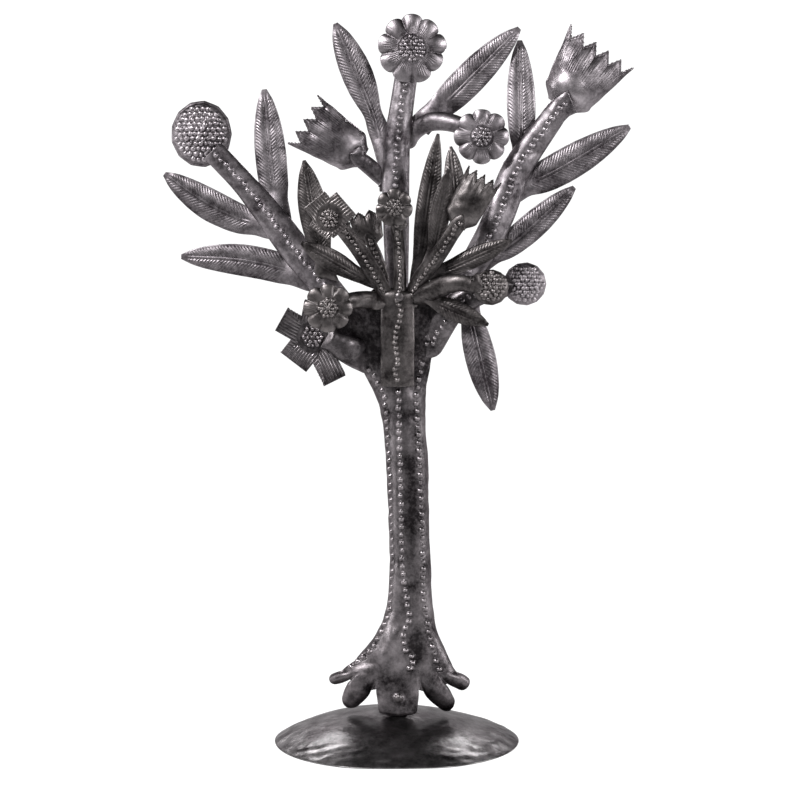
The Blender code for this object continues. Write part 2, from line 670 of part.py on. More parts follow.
# ---------------------------------------------------------------- build
def build():
    clear_scene()
    group = make_collection(COLLECTION)
    cutter_group = make_collection("cutters")
    steels = {name: make_steel(name, *values) for name, values in STEELS.items()}

    foot_x = 0.0012
    foot_hole = cylinder_cutter("foot_hole", RIVET_HOLE, 0.012,
                                (foot_x, -0.014, FOOT_RIVET_HEIGHT), "Y", cutter_group)
    lug_hole = cylinder_cutter("lug_hole", RIVET_HOLE, 0.010,
                               (foot_x, LUG_RIVET_Y, BASE_HEIGHT), "Z", cutter_group)
    bouquet_hole = cylinder_cutter("bouquet_hole", RIVET_HOLE, 0.020,
                                   (BOUQUET_RIVET[0], -0.0145, BOUQUET_RIVET[1]), "Y",
                                   cutter_group)

    base = make_base(steels["base_steel"], group)
    cut(base, lug_hole)
    make_trunk(steels["trunk_steel"], group, [foot_hole, bouquet_hole])
    make_lug(steels["trunk_steel"], group, [foot_hole, lug_hole])

    stems = {}
    for name, (points, widths, crown, steel) in STEMS.items():
        stems[name] = make_stem(name, points, widths, crown, steels[steel], group)
    cut(stems["bouquet_plate"], bouquet_hole)
    cut(stems["bouquet_centre_stem"], bouquet_hole)

    for name, (neck, tip, width, bow, neck_share, belly, steel) in LEAVES.items():
        make_leaf(name, neck, tip, width, bow, neck_share, belly, steels[steel], group)
    for name, (centre, radius, petals, first, steel) in DAISIES.items():
        make_daisy(name, centre, radius, petals, first, steels[steel], group)
    for name, (centre, petals, steel) in SQUARE_FLOWERS.items():
        make_square_flower(name, centre, petals, steels[steel], group)
    for name, (foot, mouth, widths, teeth, crown, steel) in TULIPS.items():
        make_tulip(name, foot, mouth, widths, teeth, crown, steels[steel], group)
    for name, (centre, radius, crown, steel) in BALLS.items():
        make_ball(name, centre, radius, crown, steels[steel], group)

    rivet = steels["rivet_steel"]
    make_rivet("foot_rivet", (foot_x, -0.0163, FOOT_RIVET_HEIGHT), 0.0062, "Y", rivet, group)
    make_rivet("lug_rivet", (foot_x, LUG_RIVET_Y, BASE_HEIGHT + SHEET + 2 * GAP), 0.0029, "Z",
               rivet, group)
    make_rivet("bouquet_rivet", (BOUQUET_RIVET[0], -0.0197, BOUQUET_RIVET[1]), 0.0104, "Y",
               rivet, group)


build()
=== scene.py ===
import heapq
import json
import math

import bmesh
import bpy
import numpy as np
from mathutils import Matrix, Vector


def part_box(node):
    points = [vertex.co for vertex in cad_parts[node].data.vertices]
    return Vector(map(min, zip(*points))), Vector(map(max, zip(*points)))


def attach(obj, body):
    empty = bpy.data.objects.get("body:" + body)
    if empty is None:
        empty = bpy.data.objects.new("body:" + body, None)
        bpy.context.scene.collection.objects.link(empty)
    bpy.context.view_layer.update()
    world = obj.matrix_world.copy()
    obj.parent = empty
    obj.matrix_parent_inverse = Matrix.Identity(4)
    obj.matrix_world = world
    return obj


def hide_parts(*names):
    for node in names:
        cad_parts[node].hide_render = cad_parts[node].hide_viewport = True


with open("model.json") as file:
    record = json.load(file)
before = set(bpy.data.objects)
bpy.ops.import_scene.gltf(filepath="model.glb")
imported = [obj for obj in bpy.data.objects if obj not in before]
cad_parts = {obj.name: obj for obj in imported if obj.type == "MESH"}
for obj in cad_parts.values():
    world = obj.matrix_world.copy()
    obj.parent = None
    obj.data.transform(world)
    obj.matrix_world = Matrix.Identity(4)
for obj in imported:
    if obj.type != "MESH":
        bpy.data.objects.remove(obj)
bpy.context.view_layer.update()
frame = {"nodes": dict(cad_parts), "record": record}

MM = 0.001
SHEET = 1.0 * MM            # thickness of the drum steel
CELL = 0.42 * MM            # grid cell of most pieces
LEAF_CELL = 0.32 * MM
FINE_CELL = 0.30 * MM       # grid cell of the bouquet's stems
TRUNK_CELL = 0.54 * MM
HEART = np.array([0.0, -0.008, 0.250])   # where the sprays spring from
FRONT = np.array([0.0, -1.0, 0.0])

# Half the angle that each rolled section turns through.
STEM_TURN = math.radians(78)
TULIP_TURN = math.radians(78)
LEAF_TURN = math.radians(62)
PLATE_TURN = math.radians(75)
ROOT_TURN = math.radians(84)
FOOT_TURN = math.radians(60)

FINE_STEMS = ["bouquet_left_stem", "bouquet_centre_stem", "bouquet_right_stem", "bud_stem"]
PLAIN_STEMS = ["lower_left_stem", "left_tulip_stem", "right_fork_stem", "side_daisy_stem",
               "side_ball_stem"]
# How far a stem's start sinks behind the sheet it grows from, in millimetres.
SUNK_STEMS = {"lower_left_stem": 8.5, "lower_right_stem": 7.0, "side_daisy_stem": 4.5,
              "side_ball_stem": 4.0}
# A stem almost as wide as it is long is read along an axis from its foot.
SHORT_STEMS = {"lower_left_stem": np.array([-0.0145, -0.0125, 0.218])}
STEMS = ["left_stem", "centre_stem", "right_stem", "left_tulip_stem", "right_fork_stem",
         "lower_left_stem", "lower_right_stem", "bouquet_left_stem", "bouquet_centre_stem",
         "bouquet_right_stem", "bud_stem", "side_daisy_stem", "side_ball_stem"]
# Tulips: number of teeth, the stem below, and how much the head spreads.
TULIPS = {"left_tulip": (5, "left_tulip_stem", 1.0), "big_tulip": (6, "right_stem", 1.0),
          "bouquet_tulip": (5, "bouquet_right_stem", 1.0), "bud_tulip": (4, "bud_stem", 1.35)}
DAISY_PETALS = {"top_daisy": 9, "small_daisy": 8, "bouquet_daisy": 7, "side_daisy": 8}
BALLS = ["left_ball", "lower_right_ball", "side_ball"]
# Square flowers: angle in degrees, reach and width in millimetres of each petal.
SQUARE_FLOWERS = {
    "lower_left_flower": [(80, 20, 16), (150.5, 20.3, 14.5), (232.4, 17.9, 18),
                          (296.6, 27.5, 13.2)],
    "bouquet_square_flower": [(41, 12.4, 16.2), (129, 13, 14.5), (231, 10, 12.1),
                              (308, 9.8, 9.8)],
}

# Leaves, with the width of each one's neck at its waist in millimetres.
NECKS = {
    "left_upper_leaf": 13, "left_middle_leaf": 13, "left_lower_leaf": 13.5,
    "top_left_leaf": 11.5, "top_right_leaf": 13, "right_upper_leaf": 9.5,
    "right_middle_leaf": 12.5, "right_lower_leaf": 10.5, "hanging_leaf": 10.5,
    "far_left_leaf": 9, "bouquet_left_leaf": 8, "bouquet_tall_leaf": 7.5,
    "bouquet_inner_leaf": 6, "bouquet_back_leaf": 6, "bouquet_right_leaf": 8,
    "bouquet_low_leaf": 8,
}

# Rows of dots that do not follow a stem's middle: x and z in millimetres.
TRUNK_DOTS = [
    [(-15.3, 213.8), (-12, 209.3), (-9.7, 204.8), (-6.9, 200.3), (-5.2, 179.9), (-4.1, 157.3),
     (-3, 134.6), (-2.1, 106.2), (-3, 86.2), (-5.3, 71.9), (-9.8, 62.2), (-14.3, 54.2),
     (-21.1, 47.9), (-28.5, 42.1)],
    [(1, 201.4), (1.5, 179.9), (2.1, 151.6), (2.7, 123.2), (3.2, 100.5), (6.4, 78.8),
     (7.6, 72.7), (4.8, 67.3), (3.6, 63.9), (4.8, 54.7), (10, 49.6), (9.3, 45.0), (5.2, 43.3)],
    [(14.3, 217.4), (11.1, 200.3), (12.2, 179.9), (13.3, 151.6), (14.5, 123.2), (15.1, 100.5),
     (15.1, 86.2), (17.9, 66.2), (21.4, 51.9), (25.3, 39.8)],
]
TRUNK_DOT_PITCH = 4.5 * MM
PLATE_DOTS = [(1.3, 259.5), (0.4, 253.1), (2.6, 247.5), (1.5, 241.9), (-0.2, 236.3),
              (-1, 227.8), (1, 219.4), (-1.3, 213.8), (1, 206.5)]

# The flare's edges where it fans out between the branches: z, left x, right x (mm).
TRUNK_FAN = [(222, -26.5, 19.8), (229, -33, 23.5), (237, -37, 28), (245, -40, 32.5),
             (254, -43, 37.5), (262, -46, 41)]

# The flare's edges below the crotch, along the outer roots: z, left x, right x (mm).
TRUNK_FLARE = [(33, -41.5, 40.5), (38, -35.3, 36.2)]

# Broad swells and dents between the rows: x, z, half width, half height, rise (all mm).
TRUNK_SWELLS = [(-1, 61, 4, 6, 1.2), (10.5, 57, 4, 9, -1.4), (-8, 50, 3, 6, 0.8),
                (17, 46, 3, 5, 0.7), (-1, 92, 3, 12, 0.5), (-1, 130, 3, 20, 0.5),
                (9, 140, 2.5, 40, -0.5), (-1, 185, 4, 10, 0.5), (1, 47, 4, 5, 0.6)]

# Roots: start, bend and tip of the centre line and the widths there, in millimetres.
ROOTS = [
    ((-24.5, -5, 41), (-30.5, -2, 38.5), (-37.6, 2, 34.6), (9, 7.6, 5.6)),
    ((-16.4, -9, 39), (-21.8, -6, 31.4), (-28.4, 0, 19.8), (16, 15.4, 8)),
    ((0.9, -12, 40), (0.9, -13, 30), (1.0, -14.2, 17.2), (26, 24, 21)),
    ((18.6, -9, 38.5), (22.2, -6, 30.4), (31.8, 0, 18.4), (16, 14.6, 8.4)),
    ((27.5, -5, 40.5), (33.5, -2, 37), (40.5, 2, 31), (11, 10, 8.2)),
]
ROOT_CROTCH = 42 * MM       # height where the outer roots part
ROOT_BOUNDS = (-0.52, -0.25, 0.25, 0.50)     # where the roots part, across the sheet
ROOT_COLUMNS = (0.18, 0.36, 0.64, 0.82)      # the same places as shares of the grid
NOTCHES = (0.60, 0.58, 0.58, 0.52)   # share of the roots' length that is cut free

SLOTS = {part["node"]: part["material_slot"] for part in frame["record"]["subparts"]}


# ---------------- numbers
def mix(a, b, t):
    return a + (b - a) * t


def smooth_step(t):
    t = np.clip(t, 0.0, 1.0)
    return t * t * (3.0 - 2.0 * t)


def unit(vectors):
    return vectors / np.maximum(np.linalg.norm(vectors, axis=-1, keepdims=True), 1e-12)


def lattice_value(cells, seed):
    """A repeatable number from 0 to 1 for each whole-numbered lattice point."""
    key = cells[..., 0] * 127.1 + cells[..., 1] * 311.7 + cells[..., 2] * 74.7 + seed * 53.9
    value = np.sin(key) * 43758.5453
    return value - np.floor(value)


def noise(points, size, seed):
    """Smooth noise from -1 to 1 whose lumps are about size across."""
    scaled = points / size
    base = np.floor(scaled)
    f = scaled - base
    f = f * f * (3.0 - 2.0 * f)
    total = np.zeros(points.shape[:-1])
    for corner in np.ndindex(2, 2, 2):
        weight = np.ones(points.shape[:-1])
        for axis, step in enumerate(corner):
            weight = weight * (f[..., axis] if step else 1 - f[..., axis])
        total += weight * lattice_value(base + np.array(corner), seed)
    return 2.0 * total - 1.0


def hammer_marks(points, seed, strength):
    """Shallow dents of a planishing hammer, in metres."""
    broad = noise(points, 11 * MM, seed)
    fine = noise(points, 4.6 * MM, seed + 7)
    dents = np.clip(noise(points, 7 * MM, seed + 13), 0, 1) ** 2
    return strength * (0.20 * broad + 0.13 * fine - 0.22 * dents) * MM


def dot_height(distance, radius, height):
    """A punched dot: a round dome with a shallow ring pressed round its foot."""
    dome = height * np.sqrt(np.clip(1 - (distance / radius) ** 2, 0, None))
    ring = 0.16 * height * np.exp(-((distance - 1.18 * radius) / (0.28 * radius)) ** 2)
    return dome - ring


def groove(phase, width):
    """One stroke in the middle of each whole step of phase; width is a share of the step."""
    return np.exp(-((phase - np.floor(phase) - 0.5) / width) ** 2)


def add_dots(relief, points, centres, radius, height):
    """Raises a dot at each centre on the surface that the points sample."""
    reach = 2.2 * radius
    for index, centre in enumerate(centres):
        size = 1 + 0.12 * math.sin(3.7 * index)
        near = np.abs(points - centre).max(axis=-1) < reach
        distance = np.linalg.norm(points[near] - centre, axis=-1)
        dot = dot_height(distance, radius * size, height * size)
        relief[near] = np.where(dot > 0, np.maximum(relief[near], 0) * 0.2 + dot,
                                relief[near] + dot)


def packed_dots(radius, pitch):
    """Dots packed by hand over a disc, as x and z offsets from its middle."""
    rng = np.random.default_rng(1)
    rows = int(radius / (0.87 * pitch)) + 1
    offsets = []
    for row in range(-rows, rows + 1):
        for column in range(-rows - 1, rows + 2):
            offset = np.array([column + 0.5 * (row % 2), 0.87 * row]) * pitch
            offset += rng.uniform(-0.14, 0.14, 2) * pitch
            if np.linalg.norm(offset) < radius:
                offsets.append(offset)
    return np.array(offsets)


# ---------------- reading a CAD sheet
def node_box(name):
    """Lowest and highest corner of a CAD node."""
    low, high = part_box(name)
    return np.array(low), np.array(high)


def node_arrays(name):
    """Vertices and edges of a CAD node, with vertices at one place made one."""
    mesh = frame["nodes"][name].data
    points = np.empty(len(mesh.vertices) * 3)
    mesh.vertices.foreach_get("co", points)
    points = points.reshape(-1, 3)
    keys, first, inverse = np.unique(np.round(points / 1e-6).astype(np.int64), axis=0,
                                     return_index=True, return_inverse=True)
    edges = np.empty(len(mesh.edges) * 2, dtype=np.int64)
    mesh.edges.foreach_get("vertices", edges)
    edges = np.sort(inverse.reshape(-1)[edges].reshape(-1, 2), axis=1)
    edges = np.unique(edges[edges[:, 0] != edges[:, 1]], axis=0)
    return points[first], edges


def walk_distances(points, edges, start):
    """Distance from a vertex to every other one, along the edges."""
    neighbours = [[] for _ in points]
    lengths = np.linalg.norm(points[edges[:, 0]] - points[edges[:, 1]], axis=1)
    for (a, b), length in zip(edges, lengths):
        neighbours[a].append((b, length))
        neighbours[b].append((a, length))
    found = np.full(len(points), np.inf)
    found[start] = 0.0
    queue = [(0.0, start)]
    while queue:
        distance, vertex = heapq.heappop(queue)
        if distance > found[vertex]:
            continue
        for other, length in neighbours[vertex]:
            if distance + length < found[other]:
                found[other] = distance + length
                heapq.heappush(queue, (found[other], other))
    return found


def crossings(points, edges, values, level):
    """Points where the edges pass through a level of a value known at each vertex."""
    a, b = edges[:, 0], edges[:, 1]
    va, vb = values[a] - level, values[b] - level
    hit = (va < 0) != (vb < 0)
    share = (va[hit] / (va[hit] - vb[hit]))[:, None]
    return points[a[hit]] * (1 - share) + points[b[hit]] * share


def lengths_along(line):
    """Distance of each point of a polyline from its start."""
    steps = np.linalg.norm(np.diff(line, axis=0), axis=1)
    return np.concatenate([[0], np.cumsum(steps)])


def resample(line, count):
    """Evenly spaced points along a polyline."""
    along = lengths_along(line)
    wanted = np.linspace(0, along[-1], count)
    return np.stack([np.interp(wanted, along, line[:, k]) for k in range(3)], axis=1)


def smooth_rows(values, times):
    """Three-point smoothing along the first axis that keeps both ends."""
    values = values.copy()
    for _ in range(times):
        values[1:-1] = 0.25 * values[:-2] + 0.5 * values[1:-1] + 0.25 * values[2:]
    return values


def sheet_axes(tangents):
    """Across and front directions of a sheet that runs along the tangents."""
    front = unit(FRONT - tangents * (tangents @ FRONT)[..., None])
    return np.cross(tangents, front), front


class Strip:
    """A CAD sheet read as a centre line with a width and a crown at each station."""

    def __init__(self, name, stations=28, foot=None):
        points, edges = node_arrays(name)
        if foot is not None:
            self.follow_axis(name, points, edges, foot, stations)
            return
        middle = points.mean(axis=0)
        start = int(np.argmax(np.linalg.norm(points - middle, axis=1)))
        from_start = walk_distances(points, edges, start)
        from_end = walk_distances(points, edges, int(np.argmax(from_start)))
        share = from_start / (from_start + from_end)
        line = [crossings(points, edges, share, level).mean(axis=0)
                for level in np.linspace(0.1, 0.9, 13)]
        line = np.array(line)
        ends = []
        for near, beyond in ((line[0], line[1]), (line[-1], line[-2])):
            outward = unit(near - beyond)
            gathered = points[np.linalg.norm(points - near, axis=1) < 0.25 * from_start.max()]
            ends.append(near + outward * ((gathered - near) @ outward).max())
        line = np.concatenate([[ends[0]], line, [ends[1]]])
        if np.linalg.norm(line[-1] - HEART) < np.linalg.norm(line[0] - HEART):
            line = line[::-1]
        reach = 1.3 * self.measure(points, edges, resample(line, stations), 0.012)[1].max()
        for _ in range(2):
            line = resample(line, stations)
            line, half, crown = self.measure(points, edges, line, reach)
        self.keep(name, smooth_rows(line, 1), half, crown)

    def follow_axis(self, name, points, edges, foot, stations):
        """Reads a short wide sheet along the straight axis from its foot to its middle."""
        middle = (points.min(axis=0) + points.max(axis=0)) / 2
        axis = unit(middle - foot)
        reach = (points - foot) @ axis
        ends = [foot + axis * reach.min(), foot + axis * reach.max()]
        for _ in range(3):
            line = resample(np.array(ends), stations)
            line, half, crown = self.measure(points, edges, line, 1.0)
            sound = line[stations // 10:int(stations * 0.7)]
            low = sound[:len(sound) // 2].mean(axis=0)
            axis = unit(sound[len(sound) // 2:].mean(axis=0) - low)
            reach = (points - low) @ axis
            ends = [low + axis * reach.min(), low + axis * reach.max()]
        self.keep(name, resample(np.array(ends), stations), half, crown)

    def keep(self, name, line, half, crown):
        self.name = name
        self.line = line
        self.half = half
        self.crown = smooth_rows(crown, 1)
        self.along = lengths_along(line)
        self.length = self.along[-1]

    def measure(self, points, edges, line, reach):
        """Slices the sheet square to its line; gives centres, half widths and crowns."""
        tangents = unit(np.gradient(line, axis=0))
        across, front = sheet_axes(tangents)
        centres, halves, crowns = [], [], []
        for index, (place, tangent) in enumerate(zip(line, tangents)):
            inward = 0.25 * MM * ((index == 0) - (index == len(line) - 1))
            cut = place + tangent * inward
            ring = crossings(points, edges, (points - cut) @ tangent, 0.0)
            ring = ring[np.linalg.norm(ring - cut, axis=1) < reach * 1.8]
            if len(ring) < 4:
                centres.append(place)
                halves.append(halves[-1] if halves else 0.5 * MM)
                crowns.append(crowns[-1] if crowns else 0.0)
                continue
            side = (ring - place) @ across[index]
            rise = (ring - place) @ front[index]
            edge = np.minimum(side - side.min(), side.max() - side) < 0.3 * MM
            rim = rise[edge].max()
            centres.append(place + across[index] * (side.max() + side.min()) / 2
                           + front[index] * rim)
            halves.append((side.max() - side.min()) / 2)
            crowns.append(max(rise.max() - rim, 0.0))
        return np.array(centres), np.array(halves), np.array(crowns)

    def at(self, distances):
        """Centre, half width, crown, across and front at distances along the line."""
        centre = np.stack([np.interp(distances, self.along, self.line[:, k]) for k in range(3)],
                          axis=1)
        centre = smooth_rows(centre, 12)
        tangents = unit(np.gradient(centre, axis=0))
        across, front = sheet_axes(tangents)
        half = smooth_rows(np.interp(distances, self.along, self.half), 3)
        crown = smooth_rows(np.interp(distances, self.along, self.crown), 6)
        return centre, half, crown, across, front


# ---------------- building a sheet
def grid_normals(points, wrap):
    if wrap:
        du = np.roll(points, -1, axis=1) - np.roll(points, 1, axis=1)
    else:
        du = np.gradient(points, axis=1)
    dv = np.gradient(points, axis=0)
    return unit(np.cross(du, dv))


def make_mesh(name, vertices, faces, patina_and_painted_light):
    """A smooth mesh whose relief attribute sets the steel's tone: patina and wear, with painted
    highlight on raised parts and painted shade where it is added.
    """
    mesh = bpy.data.meshes.new(name)
    mesh.from_pydata(vertices.reshape(-1, 3).tolist(), [], faces)
    relief_attribute = mesh.attributes.new("relief", "FLOAT", "POINT")
    relief_attribute.data.foreach_set("value", patina_and_painted_light.ravel().astype(np.float32))
    mesh.shade_smooth()
    mesh.update()
    return mesh


def grid_faces(rows, columns, wrap=False, keep=None):
    faces = []
    last = columns if wrap else columns - 1
    for row in range(rows - 1):
        for column in range(last):
            if keep is None or keep(row, column):
                here, there = row * columns, (row + 1) * columns
                following = (column + 1) % columns
                faces.append((here + column, here + following, there + following,
                              there + column))
    return faces


def new_object(name, data):
    thing = bpy.data.objects.new(name, data)
    bpy.context.scene.collection.objects.link(thing)
    return thing


def add_piece(name, mesh, node):
    """Links the piece, thickens it backwards, and makes it stand for its CAD node."""
    piece = new_object(name, mesh)
    solid = piece.modifiers.new("sheet", "SOLIDIFY")
    solid.thickness = SHEET
    solid.offset = -1.0
    piece.data.materials.append(STEEL[SLOTS[node]])
    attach(piece, "root")
    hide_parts(node)


def add_sheet(name, suffix, points, relief, patina_and_painted_light):
    """Makes a piece of an open grid raised by its relief."""
    mesh = make_mesh(name + "_steel", raise_grid(points, relief),
                     grid_faces(*points.shape[:2]), patina_and_painted_light)
    add_piece(name + suffix, mesh, name)


def raise_grid(points, relief, wrap=False):
    """Moves each point of a grid out along the surface's normal."""
    return points + grid_normals(points, wrap) * relief[..., None]


def arc_section(u, half_turn):
    """Across and forward shares of a sheet rolled through half_turn to each side."""
    angle = u * half_turn
    across = np.sin(angle) / math.sin(half_turn)
    forward = (np.cos(angle) - math.cos(half_turn)) / (1 - math.cos(half_turn))
    return across, forward


def strip_grid(strip, half_turn, cell):
    """Fine grid over a strip: its points, their shares u and side, and each row's half width."""
    rows = max(int(strip.length / cell), 8)
    distances = np.linspace(0, strip.length, rows)
    centre, half, crown, across, front = strip.at(distances)
    columns = int(2.3 * half.max() / cell) // 2 * 2 + 1
    u = np.linspace(-1, 1, columns)
    side, forward = arc_section(u[None, :], half_turn)
    side = np.broadcast_to(side, (rows, columns))
    forward = np.broadcast_to(forward, (rows, columns))
    points = (centre[:, None, :] + across[:, None, :] * (side * half[:, None])[..., None]
              + front[:, None, :] * (forward * crown[:, None])[..., None])
    return points, u, side, distances, half


# ---------------- materials
def steel_material(name, dark, light, roughness, grain):
    """Lacquered hammered steel: dark patina in the hollows; raised parts are painted lighter, a
    painted highlight.
    """
    material = bpy.data.materials.new(name)
    material.use_nodes = True
    nodes = material.node_tree.nodes
    links = material.node_tree.links
    shader = nodes["Principled BSDF"]
    shader.inputs["Metallic"].default_value = 1.0
    shader.inputs["Specular Tint"].default_value = (0.45, 0.43, 0.44, 1)
    shader.inputs["Coat Weight"].default_value = 0.12
    shader.inputs["Coat Roughness"].default_value = 0.18

    place = nodes.new("ShaderNodeTexCoord")

    def noise_node(scale, detail, rough):
        texture = nodes.new("ShaderNodeTexNoise")
        texture.inputs["Scale"].default_value = scale
        texture.inputs["Detail"].default_value = detail
        texture.inputs["Roughness"].default_value = rough
        links.new(place.outputs["Object"], texture.inputs["Vector"])
        return texture.outputs["Fac"]

    def map_range(value, low, high, to_low, to_high):
        node = nodes.new("ShaderNodeMapRange")
        for end, number in (("From Min", low), ("From Max", high),
                            ("To Min", to_low), ("To Max", to_high)):
            node.inputs[end].default_value = number
        links.new(value, node.inputs["Value"])
        return node.outputs["Result"]

    def combine(kind, a, b):
        node = nodes.new("ShaderNodeMath")
        node.operation = kind
        node.use_clamp = kind == "ADD"
        links.new(a, node.inputs[0])
        links.new(b, node.inputs[1])
        return node.outputs["Value"]

    relief_attribute = nodes.new("ShaderNodeAttribute")
    relief_attribute.attribute_name = "relief"
    clouds = noise_node(70, 5, 0.62)
    specks = noise_node(520 * grain, 6, 0.7)
    # Tone from the relief: hollows darker as patina, raised beads, ribs and swells lighter as a
    # painted highlight.
    patina_and_highlight = map_range(relief_attribute.outputs["Fac"], -1.0, 0.85, -0.35, 0.62)
    patches = map_range(clouds, 0.36, 0.66, -0.08, 0.38)
    fine = map_range(specks, 0.38, 0.66, -0.10, 0.20)
    tone = combine("ADD", combine("ADD", patina_and_highlight, patches), fine)

    ramp = nodes.new("ShaderNodeValToRGB")
    ramp.color_ramp.elements[0].color = (*dark, 1)
    ramp.color_ramp.elements[1].color = (*light, 1)
    links.new(tone, ramp.inputs["Fac"])
    links.new(ramp.outputs["Color"], shader.inputs["Base Color"])

    gloss = map_range(noise_node(160, 4, 0.6), 0.3, 0.7, roughness[0], roughness[1])
    links.new(combine("SUBTRACT", gloss, map_range(relief_attribute.outputs["Fac"], 0.1, 0.9, 0.0, 0.07)),
              shader.inputs["Roughness"])

    bump = nodes.new("ShaderNodeBump")
    bump.inputs["Strength"].default_value = 0.35
    bump.inputs["Distance"].default_value = 0.00018
    links.new(noise_node(900 * grain, 7, 0.72), bump.inputs["Height"])
    links.new(bump.outputs["Normal"], shader.inputs["Normal"])
    return material


# Each slot's colour in the hollows (patina) and on raised or worn places (painted highlight and
# wear), its roughness range and its grain.
LOOKS = {
    "base_steel": ((0.020, 0.0190, 0.0195), (0.20, 0.193, 0.195), (0.33, 0.44), 0.8),
    "trunk_steel": ((0.016, 0.0135, 0.0148), (0.26, 0.236, 0.247), (0.30, 0.50), 1.0),
    "spray_steel": ((0.038, 0.032, 0.036), (0.38, 0.347, 0.368), (0.34, 0.54), 1.0),
    # bouquet_steel is the sprays' steel painted darker, a painted shade, as the front bouquet
    # leans out and faces down.
    "bouquet_steel": ((0.016, 0.0135, 0.0138), (0.21, 0.19, 0.19), (0.32, 0.52), 1.0),
    "rivet_steel": ((0.03, 0.026, 0.027), (0.22, 0.20, 0.205), (0.34, 0.48), 1.0),
}
STEEL = {name: steel_material(name, *look) for name, look in LOOKS.items()}


# ---------------- stems
STEM_STRIPS = {}


def read_stem(name):
    """A stem's strip, a little fuller than the CAD one towards its ends."""
    strip = Strip(name, foot=SHORT_STEMS.get(name))
    widest = strip.half.max()
    strip.half = np.maximum(1.06 * strip.half, (0.95 if name in FINE_STEMS else 0.80) * widest)
    if name == "bouquet_centre_stem":
        strip.half = strip.half * mix(1.0, 0.66, smooth_step(strip.along / strip.length * 2.2))
    if name in SUNK_STEMS:
        share = strip.along / strip.length
        sink = SUNK_STEMS[name] * MM * (1 - smooth_step(share / 0.6))
        strip.line = strip.line - FRONT * sink[:, None]
        strip.half = strip.half * mix(1.25, 1.0, smooth_step(share / 0.5))
    return strip


def build_stem(name):
    strip = STEM_STRIPS[name]
    pitch, radius, height = (2.8, 1.22, 1.1) if name in FINE_STEMS else (3.8, 1.25, 0.9)
    cell = FINE_CELL if name in FINE_STEMS else CELL
    points, u = strip_grid(strip, STEM_TURN, cell)[:2]
    relief = hammer_marks(points, len(name), 1.5) * (1 - 0.6 * np.abs(u)[None, :] ** 3)
    middle = points.shape[1] // 2
    places = np.arange(0.8 * MM, strip.length - 1.5 * MM, pitch * MM)
    centres = []
    for index, place in enumerate([] if name in PLAIN_STEMS else places):
        row = int(place / strip.length * (points.shape[0] - 1))
        wobble = int(round(1.5 * math.sin(1.9 * index + len(name))))
        centres.append(points[row, middle + wobble])
    add_dots(relief, points, centres, radius * MM, height * MM)
    add_sheet(name, "_hammered", points, relief, relief / MM)


# ---------------- leaves
def parent_stem(place):
    """The stem whose centre line passes nearest to a place, and the station there."""
    best = None
    for stem in STEM_STRIPS.values():
        gap = np.linalg.norm(stem.line - place, axis=1)
        station = int(np.argmin(gap))
        if best is None or gap[station] < best[0]:
            best = (gap[station], stem, station)
    return best[1], best[2]


def leaf_outline(strip, name):
    """Grows the narrow CAD neck back into its stem, as one smooth web of sheet."""
    waist = 0.5 * NECKS[name] * MM
    dark = SLOTS[name] == "bouquet_steel"
    direction = unit(strip.line[3] - strip.line[0])
    stem, station = parent_stem(strip.line[0] - direction * 0.9 * waist)
    root = stem.line[station] - FRONT * 0.3 * MM
    join = int(0.24 * len(strip.line))
    s = np.linspace(0, 1, 2 * join)[:, None]
    web = (1 - s) ** 2 * root + 2 * s * (1 - s) * strip.line[0] + s * s * strip.line[join]
    extra = len(web)
    old_half = np.concatenate([np.zeros(extra), strip.half[join + 1:]])
    old_half[:extra] = np.interp(np.linspace(0, join, extra), np.arange(len(strip.half)),
                                 strip.half) * smooth_step(s[:, 0] * 1.4 - 0.4)
    crown = np.concatenate([np.full(extra, strip.crown[join]), strip.crown[join + 1:]])
    line = np.concatenate([web, strip.line[join + 1:]])
    strip.keep(name, smooth_rows(line, 6), old_half, crown)
    share = strip.along / strip.length
    base = max(1.02 * stem.half[station], waist * 1.05)
    neck = mix(base, waist, smooth_step(share / 0.20))
    neck = neck * (1 - smooth_step((share - 0.26) / 0.42))
    blunt = strip.half.max() * (strip.half / strip.half.max()) ** (0.9 if dark else 0.74)
    if dark or name == "hanging_leaf":
        blunt = blunt * 0.92
    power = 4.0
    strip.half = (blunt ** power + neck ** power) ** (1 / power)
    puff = smooth_step(share / 0.10) * (1 - smooth_step((share - 0.12) / 0.26))
    strip.crown = np.maximum(strip.crown, 0.34 * waist * puff)


def build_leaf(name):
    strip = Strip(name)
    leaf_outline(strip, name)
    vein_pitch = 1.95 * MM
    slant = 0.95
    points, _, side, distances, half = strip_grid(strip, LEAF_TURN, LEAF_CELL)
    offset = side * half[:, None]
    share = (distances / strip.length)[:, None]
    lobe = np.abs(side)
    start = 0.20 + 0.05 * math.sin(len(name))
    blade = smooth_step((share - start) / 0.10) * smooth_step((0.975 - share) / 0.05)
    relief = hammer_marks(points, len(name) + 3, 0.8)
    relief += 0.45 * MM * np.sin(math.pi * np.clip(lobe * 1.02, 0, 1)) * blade
    rib = np.exp(-(offset / (0.38 * MM)) ** 2)
    beside = np.exp(-((np.abs(offset) - 0.95 * MM) / (0.45 * MM)) ** 2)
    relief += blade * (0.24 * rib - 0.16 * beside) * MM
    wander = 0.55 * MM * noise(points, 6 * MM, 5)
    phase = (distances[:, None] - slant * np.abs(offset) + wander) / vein_pitch
    stroke = groove(phase + 0.5 * (side > 0), 0.33 * MM / vein_pitch)
    pressed = 0.65 + 0.35 * noise(points, 3.2 * MM, 15)
    inner = smooth_step((np.abs(offset) - 0.7 * MM) / (0.6 * MM))
    outer = smooth_step((half[:, None] - np.abs(offset) - 0.6 * MM) / (0.8 * MM))
    relief -= 0.27 * MM * stroke * pressed * inner * outer * blade
    relief += 0.25 * MM * np.exp(-((half[:, None] - np.abs(offset)) / (0.7 * MM)) ** 2) * blade
    patina_and_painted_light = relief / MM - (0.55 if name == "hanging_leaf" else 0.28) * blade
    add_sheet(name, "_chiselled", points, relief, patina_and_painted_light)


